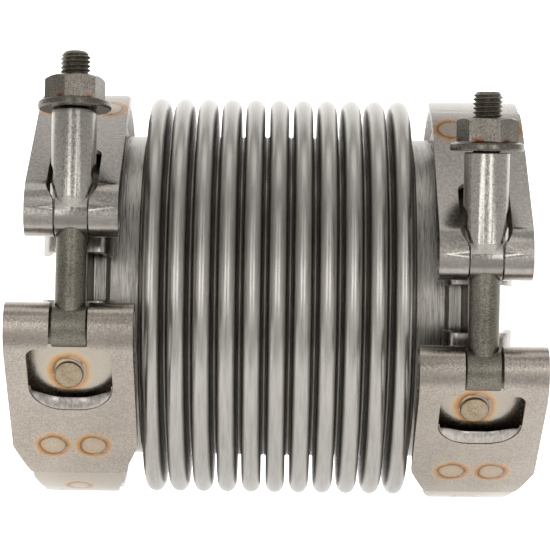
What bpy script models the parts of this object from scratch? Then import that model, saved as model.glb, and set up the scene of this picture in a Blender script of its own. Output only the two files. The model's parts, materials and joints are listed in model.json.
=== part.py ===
# Metal bellows expansion joint with a V-band flange and a T-bolt clamp at each end.
# The joint's axis is +X and runs through the centre of the inlet flange face at the
# origin. The clamps' T-bolts stand on the -Y side, and +Z is up. Metres throughout.
import bmesh
import bpy
from math import acos, atan2, cos, hypot, pi, radians, sin, tan
from mathutils import Matrix, Vector

MM = 0.001
GAP = 0.3 * MM                     # air left between pieces that touch
ROUND_STEPS = 20                   # facets round the big turned pieces
SMALL_STEPS = 16                   # facets round bolts, pins and barrels
SHARP_ANGLE = radians(35)          # edges sharper than this are shaded as edges
MERGE_DISTANCE = 0.001 * MM
CUT_SNAP = 0.0001 * MM
FLAT_ANGLE = radians(0.5)          # faces of a sheet closer than this become one

# bellows
CONVOLUTIONS = 11
PITCH = 5.34 * MM
CREST_BEND = 2.07 * MM             # outside bend radius over a crest
BELLOWS_SHEET = 0.5 * MM
CONVOLUTION_HEIGHT = 8.5 * MM      # root to crest, outside
ROOT_RISE = 0.1 * MM               # root above the cuff's outside
TANGENT_LENGTH = 6.0 * MM          # plain end of the bellows inside the cuff

# cuffs and flow liner
CUFF_R = 35.9 * MM                 # outside radius of the plain tube ends
CUFF_WALL = 1.5 * MM
CUFF_LENGTH = 14.0 * MM            # joint face to the first convolution
CUFF_SET_BACK = 0.4 * MM           # cuff end behind the joint face
CUFF_TO_BELLOWS = 0.8 * MM
LINER_WALL = 0.8 * MM
LINER_LENGTH = 58.0 * MM
LINER_SET_BACK = 1.5 * MM
LINER_DROP = 1.3 * MM              # the liner runs this far inside the bellows end
LINER_SEAT = 5.0 * MM              # flared seat at the liner's inlet end

# V-band flanges
FLANGE_NECK_WALL = 1.1 * MM
FLANGE_NECK_END = 6.3 * MM
FLANGE_CHAMFER = 0.9 * MM
FLANGE_RIM_HEIGHT = 3.7 * MM
FLANGE_RIM_WIDTH = 2.6 * MM
FLANGE_FLANK_END = 3.7 * MM

# clamps: V retainers and strap
RETAINER_SHEET = 1.3 * MM
RETAINER_HALF_WIDTH = 7.4 * MM     # at the mouth of the V
RETAINER_OFFSET = 0.5 * MM         # the retainers sit this far towards the bellows
RETAINER_FLANK = radians(20.0)     # from the radial direction
RETAINER_MOUTH_RISE = 0.5 * MM     # mouth above the flange neck
RETAINER_SHOULDER = 1.2 * MM       # corner of the V taken off by its bend
RETAINER_ENDS = radians(6.9)       # half the angle between the two retainers
RETAINER_TURN = {"inlet": radians(-0.6), "outlet": radians(0.6)}
RETAINER_ARC_STEPS = 20
STRAP_SHEET = 0.9 * MM
STRAP_WIDTH = 17.0 * MM
STRAP_ENDS = radians(40.0)         # half the angle that the strap leaves open in front
STRAP_ARC_STEPS = 36

# clamps: brackets folded into loops
BRACKET_SHEET = 1.0 * MM
LOOP_CLEARANCE = 0.25 * MM
BOLT_STANDOFF = 6.65 * MM          # bolt axis in front of the strap's mid line
PIVOT_HALF_SPACING = 11.65 * MM    # trunnion pivot above, T-head pivot below
UPPER_WIDTH = 19.4 * MM
UPPER_LOOP_GAP = 7.4 * MM
UPPER_SLOT_WIDTH = 10.7 * MM
UPPER_SLOT_START = 2.4 * MM        # past the loop's front, where the slot starts to open
UPPER_SLOT_NECK = 5.4 * MM         # where it has opened to its full width
UPPER_SLOT_END = 21.2 * MM
UPPER_INNER_END = radians(80.0)
UPPER_FRONT_END = radians(66.0)
BRACKET_TO_BELLOWS = 0.7 * MM      # lower bracket to the first convolution
LOWER_LOOP_GAP = 8.0 * MM
LOWER_WINDOW_WIDTH = 17.6 * MM
LOWER_WINDOW_TOP = 5.2 * MM        # past the loop's front
LOWER_WINDOW_END = 23.5 * MM
LOWER_WINDOW_ROUND = 7.2 * MM
LOWER_INNER_END = radians(83.5)
LOWER_INNER_WIDTH = 16.5 * MM
LOWER_FRONT_END = radians(62.5)
LOWER_FRONT_WIDTH = 19.8 * MM
LOWER_TAPER = 9.6 * MM             # length of the tapered corners of a ply
LOWER_INNER_STEP = 3.8 * MM        # the inner ply keeps its end's width this far,
LOWER_INNER_SHOULDER = 11.6 * MM   # reaches the front ply's end width here
LOWER_INNER_NECK = 18.0 * MM       # and starts to widen again here
FRONT_BEND_R = 8.5 * MM            # a loop opens out into its front ply with this bend
LOOP_GAP_RUN = 4.2 * MM            # the gap between two loops runs on into the inner ply
CORNER = 2.0 * MM
SMALL_CORNER = 1.3 * MM

# clamps: T-bolt, trunnion and nut
ROD_R = 3.2 * MM
THREAD_R = 2.9 * MM
THREAD_START = 30.0 * MM           # above the T-head pivot
BOLT_TIP = 57.4 * MM               # above the T-head pivot
TIP_CHAMFER = 0.9 * MM
T_HEAD_R = 3.7 * MM
T_HEAD_SET_IN = 0.4 * MM           # from the side of the lower bracket
BOSS_RISE = 0.6 * MM               # the head is thicker between the loops
ROD_CLEARANCE = 0.2 * MM
PIN_R = 3.5 * MM
PIN_SET_IN = 0.4 * MM              # from the side of the upper bracket
BARREL_R = 4.7 * MM
BARREL_TOP = 21.65 * MM            # above the trunnion pivot
COLLAR_SET_IN = 0.1 * MM           # the pin is thicker between the loops, under the barrel
COLLAR_SIDE_GAP = 0.22 * MM        # from the loops, so that its ends clear the bore
# hollows in both sides of the barrel's foot: radius, height over the pin and half of
# the width left between them; the lower pair clears the loops
BARREL_HOLLOWS = ((4.35 * MM, 1.4 * MM, 3.55 * MM), (4.0 * MM, 8.2 * MM, 3.9 * MM))
NUT_ACROSS_FLATS = 11.1 * MM
NUT_FLANGE_R = 7.7 * MM
NUT_FLANGE_RIM = 1.5 * MM
NUT_FLANGE_TOP = 2.1 * MM
NUT_HEIGHT = 6.75 * MM
NUT_CHAMFER_R = 5.4 * MM           # where the corners' 30 degree chamfer meets the top
NUT_CLEARANCE = 0.25 * MM
NUT_TURN = {"inlet": radians(-14.5), "outlet": radians(19.5)}   # a corner, from the front

# how far each clamp has turned round the axis, front upwards
INLET_CLOCK = radians(6.0)
OUTLET_CLOCK = radians(-3.0)

# places and sizes that follow from the ones above
FACE_TO_FACE = 2 * CUFF_LENGTH + 2 * CREST_BEND + (CONVOLUTIONS - 1) * PITCH
FIRST_ROOT = CUFF_LENGTH + CREST_BEND - PITCH / 2
ROOT_R = CUFF_R + ROOT_RISE
CREST_R = ROOT_R + CONVOLUTION_HEIGHT
ROOT_BEND = PITCH / 2 - CREST_BEND
CUFF_INNER_R = CUFF_R - CUFF_WALL
TANGENT_R = CUFF_INNER_R - GAP
FLANGE_BORE_R = CUFF_R + GAP
NECK_R = FLANGE_BORE_R + FLANGE_NECK_WALL
RIM_R = NECK_R + FLANGE_RIM_HEIGHT
CROWN_R = RIM_R + GAP + RETAINER_SHEET
STRAP_MID_R = CROWN_R + GAP + STRAP_SHEET / 2
INNER_PLY_R = STRAP_MID_R + STRAP_SHEET / 2 + GAP + BRACKET_SHEET / 2
FRONT_PLY_R = INNER_PLY_R + BRACKET_SHEET + GAP
BOLT_OUT = STRAP_MID_R + BOLT_STANDOFF
LOWER_WIDTH = 2 * (CUFF_LENGTH - BRACKET_TO_BELLOWS)
T_HEAD_LENGTH = LOWER_WIDTH - 2 * T_HEAD_SET_IN
BOSS_LENGTH = LOWER_LOOP_GAP - 2 * GAP
COLLAR_LENGTH = UPPER_LOOP_GAP - 2 * COLLAR_SIDE_GAP
PIN_LENGTH = UPPER_WIDTH - 2 * PIN_SET_IN
PIN_LOOP_R = PIN_R + LOOP_CLEARANCE + BRACKET_SHEET / 2
HEAD_LOOP_R = T_HEAD_R + LOOP_CLEARANCE + BRACKET_SHEET / 2
BARREL_BORE_R = ROD_R + ROD_CLEARANCE


def make_collection(name):
    collection = bpy.data.collections.new(name)
    bpy.context.scene.collection.children.link(collection)
    return collection


def make_material(name, colour, metallic, roughness):
    material = bpy.data.materials.new(name)
    material.use_nodes = True
    shader = material.node_tree.nodes["Principled BSDF"]
    shader.inputs["Base Color"].default_value = (*colour, 1.0)
    shader.inputs["Metallic"].default_value = metallic
    shader.inputs["Roughness"].default_value = roughness
    material.diffuse_color = (*colour, 1.0)
    return material


def make_object(name, mesh, material=None, parent=None, location=(0, 0, 0)):
    piece = bpy.data.objects.new(name, mesh)
    PARTS.objects.link(piece)
    piece.parent = parent
    piece.location = location
    if material:
        mesh.materials.append(material)
    mesh.shade_smooth()
    mesh.set_sharp_from_angle(angle=SHARP_ANGLE)
    return piece


def make_cutter(name, mesh, parent, location=(0, 0, 0)):
    cutter = bpy.data.objects.new(name, mesh)
    CUTTERS.objects.link(cutter)
    cutter.parent = parent
    cutter.location = location
    cutter.hide_render = True
    cutter.display_type = "WIRE"
    return cutter


def make_frame(name, parent, location, turn=0.0):
    frame = bpy.data.objects.new(name, None)
    frame.empty_display_size = 0.01
    PARTS.objects.link(frame)
    frame.parent = parent
    frame.location = location
    frame.rotation_euler = (turn, 0, 0)
    return frame


def boolean(piece, operation, cutter):
    modifier = piece.modifiers.new(operation.lower(), "BOOLEAN")
    modifier.operation = operation
    modifier.solver = "EXACT"
    modifier.object = cutter


def arc_points(centre, radius, start, end, steps):
    turn = (end - start) / steps
    return [(centre[0] + radius * cos(start + turn * i),
             centre[1] + radius * sin(start + turn * i)) for i in range(steps + 1)]


def line_mesh(name, points, closed):
    bm = bmesh.new()
    verts = [bm.verts.new(p) for p in points]
    for a, b in zip(verts, verts[1:]):
        bm.edges.new((a, b))
    if closed:
        bm.edges.new((verts[-1], verts[0]))
    mesh = bpy.data.meshes.new(name)
    bm.to_mesh(mesh)
    bm.free()
    return mesh


def add_turned(name, outline, material, parent=None, location=(0, 0, 0), axis="X",
               steps=ROUND_STEPS, as_cutter=False):
    # outline: (along the axis, radius) pairs, listed so that the outer side runs
    # against the axis direction; it is closed unless it starts and ends on the axis
    if axis == "X":
        points = [(x, r, 0) for x, r in outline]
    else:
        points = [(r, 0, x) for x, r in outline]
    mesh = line_mesh(name, points, closed=outline[0][1] > 0)
    if as_cutter:
        piece = make_cutter(name, mesh, parent, location)
    else:
        piece = make_object(name, mesh, material, parent, location)
    screw = piece.modifiers.new("turn", "SCREW")
    screw.axis = axis
    screw.angle = 2 * pi
    screw.steps = steps
    screw.render_steps = steps
    screw.use_merge_vertices = True
    screw.merge_threshold = 0.00001
    screw.use_smooth_shade = True
    return piece


def add_cylinder(name, radius, length, axis, steps, material, parent, location):
    bm = bmesh.new()
    # create_cone stands along Z: tip it over onto the axis asked for
    turn = {"X": Matrix.Rotation(pi / 2, 4, "Y"), "Y": Matrix.Rotation(pi / 2, 4, "X"),
            "Z": Matrix.Identity(4)}[axis]
    bmesh.ops.create_cone(bm, cap_ends=True, segments=steps, radius1=radius,
                          radius2=radius, depth=length, matrix=turn)
    mesh = bpy.data.meshes.new(name)
    bm.to_mesh(mesh)
    bm.free()
    if material:
        return make_object(name, mesh, material, parent, location)
    return make_cutter(name, mesh, parent, location)


# ---------------------------------------------------------------- bellows and ends

def convolution_outline(index):
    # the sheet runs from root to root over one crest; the two end convolutions go on
    # into the plain tangents inside the cuffs
    left = FIRST_ROOT + index * PITCH
    crest = left + PITCH / 2
    right = left + PITCH
    inner_root = ROOT_BEND + BELLOWS_SHEET
    crest_centre = (crest, CREST_R - CREST_BEND)
    half_gap = GAP / 2
    first = index == 0
    last = index == CONVOLUTIONS - 1

    def foot(centre_x, radius, side, is_end):
        # sheet surface from the flank down to the root, as (x, r) pairs; side is 1 at
        # the left foot and -1 at the right one
        flank = 0 if side > 0 else pi
        if is_end:
            end = centre_x - side * TANGENT_LENGTH
            bottom = TANGENT_R + ROOT_BEND - radius
            centre = (centre_x, TANGENT_R + ROOT_BEND)
            down = arc_points(centre, radius, flank, flank - side * pi / 2, 1)
            return down + [(end, bottom)]
        centre = (centre_x, ROOT_R + ROOT_BEND)
        stop = acos(half_gap / radius)
        return arc_points(centre, radius, flank, flank - side * stop, 1)

    outer = list(reversed(foot(left, ROOT_BEND, 1, first)))
    outer += arc_points(crest_centre, CREST_BEND, pi, 0, 4)
    outer += foot(right, ROOT_BEND, -1, last)
    inner = list(reversed(foot(right, inner_root, -1, last)))
    inner += arc_points(crest_centre, CREST_BEND - BELLOWS_SHEET, 0, pi, 2)
    inner += foot(left, inner_root, 1, first)
    return list(reversed(outer + inner))


def add_bellows(material):
    for index in range(CONVOLUTIONS):
        name = f"bellows_convolution_{index + 1:02d}"
        add_turned(name, convolution_outline(index), material)


def mirrored(outline):
    # the same section at the outlet end, seen from the other side
    return [(FACE_TO_FACE - x, r) for x, r in reversed(outline)]


def cuff_outline():
    end = CUFF_LENGTH - CUFF_TO_BELLOWS
    return [(end, CUFF_INNER_R), (end, CUFF_R), (CUFF_SET_BACK, CUFF_R),
            (CUFF_SET_BACK, CUFF_INNER_R)]


def flange_outline():
    chamfer_end = FLANGE_NECK_END + FLANGE_CHAMFER
    return [(chamfer_end, FLANGE_BORE_R), (chamfer_end, NECK_R - FLANGE_CHAMFER / 2),
            (FLANGE_NECK_END, NECK_R), (FLANGE_FLANK_END + GAP, NECK_R),
            (FLANGE_FLANK_END, NECK_R + GAP), (FLANGE_RIM_WIDTH + GAP, RIM_R - 2 * GAP),
            (FLANGE_RIM_WIDTH, RIM_R), (GAP, RIM_R), (0, RIM_R - GAP),
            (0, FLANGE_BORE_R)]


def liner_outline():
    seat_r = TANGENT_R - BELLOWS_SHEET - GAP
    run_r = TANGENT_R - LINER_DROP - GAP
    start = LINER_SET_BACK
    end = start + LINER_LENGTH
    seat_end = start + LINER_SEAT
    slope_end = seat_end + 2 * LINER_DROP
    return [(end, run_r - LINER_WALL), (end, run_r), (slope_end, run_r),
            (seat_end, seat_r), (start, seat_r), (start, seat_r - LINER_WALL),
            (seat_end, seat_r - LINER_WALL), (slope_end, run_r - LINER_WALL)]


def add_ends(cuff_material, flange_material, liner_material):
    add_turned("inlet_cuff", cuff_outline(), cuff_material)
    add_turned("outlet_cuff", mirrored(cuff_outline()), cuff_material)
    add_turned("inlet_flange", flange_outline(), flange_material)
    add_turned("outlet_flange", mirrored(flange_outline()), flange_material)
    add_turned("flow_liner", liner_outline(), liner_material)


# ---------------------------------------------------------------- clamp bands

def add_swept_sheet(name, section, start, end, steps, thickness, material, parent,
                    location):
    # section: (x, r) mid line, swept round X from one angle to the other; angles are
    # taken from the front (-Y) towards the top
    points = [(x, -r * cos(start), r * sin(start)) for x, r in section]
    mesh = line_mesh(name, points, closed=False)
    piece = make_object(name, mesh, material, parent, location)
    screw = piece.modifiers.new("sweep", "SCREW")
    screw.axis = "X"
    screw.angle = start - end
    screw.steps = steps
    screw.render_steps = steps
    screw.use_merge_vertices = False
    screw.use_smooth_shade = True
    shell = piece.modifiers.new("sheet", "SOLIDIFY")
    shell.thickness = thickness
    shell.offset = 0
    shell.use_even_offset = True
    return piece


def retainer_section(middle):
    crown = CROWN_R - RETAINER_SHEET / 2
    mouth = NECK_R + RETAINER_MOUTH_RISE
    mouth_x = RETAINER_HALF_WIDTH - RETAINER_SHEET / 2 * cos(RETAINER_FLANK)
    crown_x = mouth_x - (crown - mouth) * tan(RETAINER_FLANK)
    shoulder = crown - RETAINER_SHOULDER
    shoulder_x = mouth_x - (shoulder - mouth) * tan(RETAINER_FLANK)
    half = [(crown_x - RETAINER_SHOULDER, crown), (shoulder_x, shoulder),
            (mouth_x, mouth)]
    return [(middle - x, r) for x, r in reversed(half)] + [(middle + x, r) for x, r in half]


def add_bands(side, base, upper, hinge_offset, material, strap_material):
    towards_bellows = 1 if side == "inlet" else -1
    section = retainer_section(towards_bellows * RETAINER_OFFSET)
    turn = RETAINER_TURN[side]
    add_swept_sheet(f"{side}_upper_retainer", section, RETAINER_ENDS + turn,
                    pi - RETAINER_ENDS, RETAINER_ARC_STEPS, RETAINER_SHEET, material,
                    upper, hinge_offset)
    add_swept_sheet(f"{side}_lower_retainer", section, pi + RETAINER_ENDS,
                    2 * pi - RETAINER_ENDS + turn, RETAINER_ARC_STEPS, RETAINER_SHEET,
                    material, base, (0, 0, 0))
    half = STRAP_WIDTH / 2
    add_swept_sheet(f"{side}_strap", [(-half, STRAP_MID_R), (half, STRAP_MID_R)],
                    STRAP_ENDS, 2 * pi - STRAP_ENDS, STRAP_ARC_STEPS, STRAP_SHEET,
                    strap_material, base, (0, 0, 0))


# ---------------------------------------------------------------- folded brackets

INNER_PLY_PIECES = 2               # an arc and a flat come before the loop


def bracket_path(loop_r, inner_end, front_end):
    # mid line of the folded sheet in the plane across the joint, as pieces of
    # (kind, length, data). u points to the front and v away from the bolt gap.
    pivot = (BOLT_OUT, PIVOT_HALF_SPACING)
    inner_touch = atan2(pivot[1], pivot[0]) + acos((INNER_PLY_R + loop_r) / hypot(*pivot))
    # the bend starts at the loop's front, where both point straight forward
    bend = (BOLT_OUT + loop_r - FRONT_BEND_R, PIVOT_HALF_SPACING)
    front_touch = atan2(bend[1], bend[0]) + acos((FRONT_PLY_R - FRONT_BEND_R) / hypot(*bend))
    pieces = []

    def arc(centre, radius, start, end, steps):
        pieces.append(("arc", abs(end - start) * radius, (centre, radius, start, end),
                       steps))

    def line(start, end):
        pieces.append(("line", hypot(end[0] - start[0], end[1] - start[1]),
                       (start, end), 1))

    def on(centre, radius, angle):
        return (centre[0] + radius * cos(angle), centre[1] + radius * sin(angle))

    arc((0, 0), INNER_PLY_R, inner_end, inner_touch, 6)
    line(on((0, 0), INNER_PLY_R, inner_touch), on(pivot, loop_r, inner_touch + pi))
    arc(pivot, loop_r, inner_touch + pi, 2 * pi, 8)
    arc(bend, FRONT_BEND_R, 0, front_touch, 4)
    line(on(bend, FRONT_BEND_R, front_touch), on((0, 0), FRONT_PLY_R, front_touch))
    arc((0, 0), FRONT_PLY_R, front_touch, front_end, 4)
    return pieces


def path_point(pieces, distance):
    index = 0
    while distance > pieces[index][1] and index < len(pieces) - 1:
        distance -= pieces[index][1]
        index += 1
    kind, length, data, _ = pieces[index]
    share = distance / length
    if kind == "line":
        start, end = data
        return (start[0] + (end[0] - start[0]) * share,
                start[1] + (end[1] - start[1]) * share)
    centre, radius, start, end = data
    angle = start + (end - start) * share
    return (centre[0] + radius * cos(angle), centre[1] + radius * sin(angle))


def path_stations(pieces):
    stations = []
    base = 0.0
    for _, length, _, steps in pieces:
        stations += [base + length * i / steps for i in range(steps)]
        base += length
    return stations[1:]


def rounded(corners, steps=2):
    # corners: (s, x, radius) in order; each is replaced by an arc of its radius
    points = []
    count = len(corners)
    for i, (s, x, radius) in enumerate(corners):
        here = Vector((s, x))
        before = (Vector(corners[i - 1][:2]) - here).normalized()
        after = (Vector(corners[(i + 1) % count][:2]) - here).normalized()
        half = before.angle(after) / 2
        if radius == 0 or half > pi / 2 - 0.01:
            points.append((s, x))
            continue
        back = radius / tan(half)
        centre = here + (before + after).normalized() * (radius / sin(half))
        first = here + before * back - centre
        last = here + after * back - centre
        sweep = first.angle_signed(last)
        for j in range(steps + 1):
            turn = -sweep * j / steps
            spoke = (first.x * cos(turn) - first.y * sin(turn),
                     first.x * sin(turn) + first.y * cos(turn))
            points.append((centre.x + spoke[0], centre.y + spoke[1]))
    return points


def both_sides(half_corners):
    # a pattern drawn for x > 0 and repeated for x < 0
    return half_corners + [(s, -x, radius) for s, x, radius in reversed(half_corners)]


def add_folded_sheet(name, pieces, outline, window, upwards, material, parent,
                     location):
    bm = bmesh.new()
    for loop in (outline, window):
        verts = [bm.verts.new((s, x, 0)) for s, x in loop]
        for a, b in zip(verts, verts[1:] + verts[:1]):
            bm.edges.new((a, b))
    bmesh.ops.triangle_fill(bm, use_beauty=True, edges=bm.edges[:])
    for station in path_stations(pieces):
        bmesh.ops.bisect_plane(bm, geom=bm.verts[:] + bm.edges[:] + bm.faces[:],
                               plane_co=(station, 0, 0), plane_no=(1, 0, 0),
                               dist=CUT_SNAP)
    bmesh.ops.remove_doubles(bm, verts=bm.verts[:], dist=MERGE_DISTANCE)
    for vert in bm.verts:
        u, v = path_point(pieces, vert.co.x)
        vert.co = (vert.co.y, -u, v if upwards else -v)
    bmesh.ops.recalc_face_normals(bm, faces=bm.faces[:])
    bmesh.ops.dissolve_limit(bm, angle_limit=FLAT_ANGLE, verts=bm.verts[:],
                             edges=bm.edges[:])
    mesh = bpy.data.meshes.new(name)
    bm.to_mesh(mesh)
    bm.free()
    piece = make_object(name, mesh, material, parent, location)
    shell = piece.modifiers.new("sheet", "SOLIDIFY")
    shell.thickness = BRACKET_SHEET
    shell.offset = 0
    shell.use_even_offset = True
    return piece


def path_end(pieces, count):
    # distance along the path at which its piece of that number ends
    return sum(length for _, length, _, _ in pieces[:count])


def add_upper_bracket(side, upper, hinge_offset, material):
    pieces = bracket_path(PIN_LOOP_R, UPPER_INNER_END, UPPER_FRONT_END)
    inner_flat = path_end(pieces, INNER_PLY_PIECES)
    loop = path_end(pieces, INNER_PLY_PIECES + 1)
    end = path_end(pieces, len(pieces))
    half = UPPER_WIDTH / 2
    outline = rounded(both_sides([(0, half, CORNER), (end, half, CORNER)]))
    gap = UPPER_LOOP_GAP / 2
    slot = UPPER_SLOT_WIDTH / 2
    window = rounded(both_sides([
        (inner_flat - LOOP_GAP_RUN, gap, SMALL_CORNER),
        (loop + UPPER_SLOT_START, gap, CORNER),
        (loop + UPPER_SLOT_NECK, slot, CORNER),
        (loop + UPPER_SLOT_END, slot, CORNER)]))
    add_folded_sheet(f"{side}_upper_bracket", pieces, outline, window, True, material,
                     upper, hinge_offset)


def add_lower_bracket(side, base, material):
    pieces = bracket_path(HEAD_LOOP_R, LOWER_INNER_END, LOWER_FRONT_END)
    inner_flat = path_end(pieces, INNER_PLY_PIECES)
    loop = path_end(pieces, INNER_PLY_PIECES + 1)
    end = path_end(pieces, len(pieces))
    half = LOWER_WIDTH / 2
    outline = rounded(both_sides([
        (0, LOWER_INNER_WIDTH / 2, SMALL_CORNER),
        (LOWER_INNER_STEP, LOWER_INNER_WIDTH / 2, SMALL_CORNER),
        (LOWER_INNER_SHOULDER, LOWER_FRONT_WIDTH / 2, SMALL_CORNER),
        (LOWER_INNER_NECK, LOWER_FRONT_WIDTH / 2, SMALL_CORNER),
        (LOWER_INNER_NECK + LOWER_TAPER, half, CORNER),
        (end - LOWER_TAPER, half, CORNER),
        (end, LOWER_FRONT_WIDTH / 2, SMALL_CORNER)]))
    gap = LOWER_LOOP_GAP / 2
    wide = LOWER_WINDOW_WIDTH / 2
    window = rounded(both_sides([
        (inner_flat - LOOP_GAP_RUN, gap, SMALL_CORNER),
        (loop + LOWER_WINDOW_TOP, gap, SMALL_CORNER),
        (loop + LOWER_WINDOW_TOP, wide, CORNER),
        (loop + LOWER_WINDOW_END, wide, LOWER_WINDOW_ROUND)]))
    add_folded_sheet(f"{side}_lower_bracket", pieces, outline, window, False, material,
                     base, (0, 0, 0))


# ---------------------------------------------------------------- bolt, trunnion, nut

def add_t_bolt(side, base, material):
    head_place = (0, -BOLT_OUT, -PIVOT_HALF_SPACING)
    bolt = add_turned(f"{side}_t_bolt", [
        (0, 0), (0, ROD_R), (THREAD_START, ROD_R),
        (THREAD_START + (ROD_R - THREAD_R), THREAD_R),
        (BOLT_TIP - TIP_CHAMFER, THREAD_R), (BOLT_TIP, THREAD_R - TIP_CHAMFER),
        (BOLT_TIP, 0)][::-1], material, base, head_place, "Z", SMALL_STEPS)
    head = add_cylinder(f"{side}_t_head", T_HEAD_R, T_HEAD_LENGTH, "X", SMALL_STEPS,
                        None, base, head_place)
    boss = add_cylinder(f"{side}_t_head_boss", T_HEAD_R + BOSS_RISE, BOSS_LENGTH, "X",
                        SMALL_STEPS, None, base, head_place)
    boolean(bolt, "UNION", head)
    boolean(bolt, "UNION", boss)


def add_trunnion(side, upper, place, material):
    barrel = add_turned(f"{side}_trunnion", [
        (0, 0), (0, BARREL_R), (BARREL_TOP, BARREL_R), (BARREL_TOP, 0)][::-1],
        material, upper, place, "Z", SMALL_STEPS)
    for hollow_r, rise, half in BARREL_HOLLOWS:
        for way in (-1, 1):
            hollow_place = (place[0] + way * (half + hollow_r), place[1], place[2] + rise)
            hollow = add_cylinder(f"{side}_trunnion_hollow", hollow_r, 4 * BARREL_R, "Y",
                                  SMALL_STEPS, None, upper, hollow_place)
            boolean(barrel, "DIFFERENCE", hollow)
    collar = add_cylinder(f"{side}_trunnion_collar", BARREL_R - COLLAR_SET_IN, COLLAR_LENGTH,
                          "X", SMALL_STEPS, None, upper, place)
    pin = add_cylinder(f"{side}_trunnion_pin", PIN_R, PIN_LENGTH, "X", SMALL_STEPS,
                       None, upper, place)
    bore = add_cylinder(f"{side}_trunnion_bore", BARREL_BORE_R, 4 * BARREL_TOP, "Z",
                        SMALL_STEPS, None, upper, place)
    boolean(barrel, "UNION", pin)
    boolean(barrel, "UNION", collar)
    boolean(barrel, "DIFFERENCE", bore)


def add_nut(side, upper, place, material):
    corner_r = NUT_ACROSS_FLATS / 2 / cos(pi / 6)
    flange = add_turned(f"{side}_flange_nut", [
        (0, 0), (0, NUT_FLANGE_R), (NUT_FLANGE_RIM, NUT_FLANGE_R),
        (NUT_FLANGE_TOP, NUT_ACROSS_FLATS / 2 - GAP), (NUT_FLANGE_TOP, 0)][::-1],
        material, upper, place, "Z", ROUND_STEPS)
    hex_height = NUT_HEIGHT - NUT_FLANGE_RIM
    middle = (place[0], place[1], place[2] + NUT_HEIGHT - hex_height / 2)
    hexagon = add_cylinder(f"{side}_nut_hexagon", corner_r, hex_height, "Z", 6, None,
                           upper, middle)
    # the cylinder's first corner is at the back
    hexagon.rotation_euler = (0, 0, NUT_TURN[side])
    slope = tan(pi / 6)
    crown_rise = (corner_r - NUT_CHAMFER_R) * slope
    crown = add_turned(f"{side}_nut_crown", [
        (-NUT_HEIGHT, 0), (-NUT_HEIGHT, 2 * corner_r),
        (NUT_HEIGHT - crown_rise - corner_r * slope, 2 * corner_r),
        (NUT_HEIGHT + GAP, NUT_CHAMFER_R - GAP / slope),
        (NUT_HEIGHT + GAP, 0)][::-1], None, upper, place, "Z", ROUND_STEPS, True)
    bore = add_cylinder(f"{side}_nut_bore", THREAD_R + NUT_CLEARANCE, 4 * NUT_HEIGHT,
                        "Z", SMALL_STEPS, None, upper, place)
    boolean(hexagon, "INTERSECT", crown)
    boolean(flange, "UNION", hexagon)
    boolean(flange, "DIFFERENCE", bore)


def add_clamp(side, x, clock, materials):
    base = make_frame(f"{side}_clamp_axis", None, (x, 0, 0), -clock)
    hinge = make_frame(f"{side}_clamp_hinge", base, (0, STRAP_MID_R, 0))
    hinge_offset = Vector((0, -STRAP_MID_R, 0))
    pin_place = hinge_offset + Vector((0, -BOLT_OUT, PIVOT_HALF_SPACING))
    nut_place = pin_place + Vector((0, 0, BARREL_TOP + GAP))
    add_bands(side, base, hinge, hinge_offset, materials["retainer"],
              materials["strap"])
    add_upper_bracket(side, hinge, hinge_offset, materials["bracket"])
    add_lower_bracket(side, base, materials["bracket"])
    add_t_bolt(side, base, materials["bolt"])
    add_trunnion(side, hinge, pin_place, materials["trunnion"])
    add_nut(side, hinge, nut_place, materials["nut"])


def clear_scene():
    for item in list(bpy.data.objects):
        bpy.data.objects.remove(item, do_unlink=True)


clear_scene()
PARTS = make_collection("metal_bellows_expansion_joint")
CUTTERS = make_collection("cutters")

bellows_steel = make_material("bellows stainless steel", (0.34, 0.33, 0.32), 1.0, 0.38)
cuff_steel = make_material("cuff stainless steel", (0.42, 0.41, 0.39), 1.0, 0.42)
clamp_steels = {
    "retainer": make_material("retainer stainless steel", (0.40, 0.39, 0.37), 1.0, 0.4),
    "strap": make_material("strap stainless steel", (0.45, 0.44, 0.42), 1.0, 0.35),
    "bracket": make_material("bracket stainless steel", (0.50, 0.47, 0.44), 1.0, 0.42),
    "bolt": make_material("bolt steel", (0.24, 0.23, 0.22), 1.0, 0.5),
    "trunnion": make_material("trunnion steel", (0.46, 0.45, 0.43), 1.0, 0.3),
    "nut": make_material("nut steel", (0.32, 0.31, 0.30), 1.0, 0.4),
}

add_bellows(bellows_steel)
add_ends(cuff_steel, cuff_steel, bellows_steel)
add_clamp("inlet", 0.0, INLET_CLOCK, clamp_steels)
add_clamp("outlet", FACE_TO_FACE, OUTLET_CLOCK, clamp_steels)
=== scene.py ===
import json
from itertools import accumulate
from math import acos, atan2, cos, hypot, pi, radians, sin, tan

import bmesh
import bpy
from mathutils import Matrix, Vector


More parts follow.
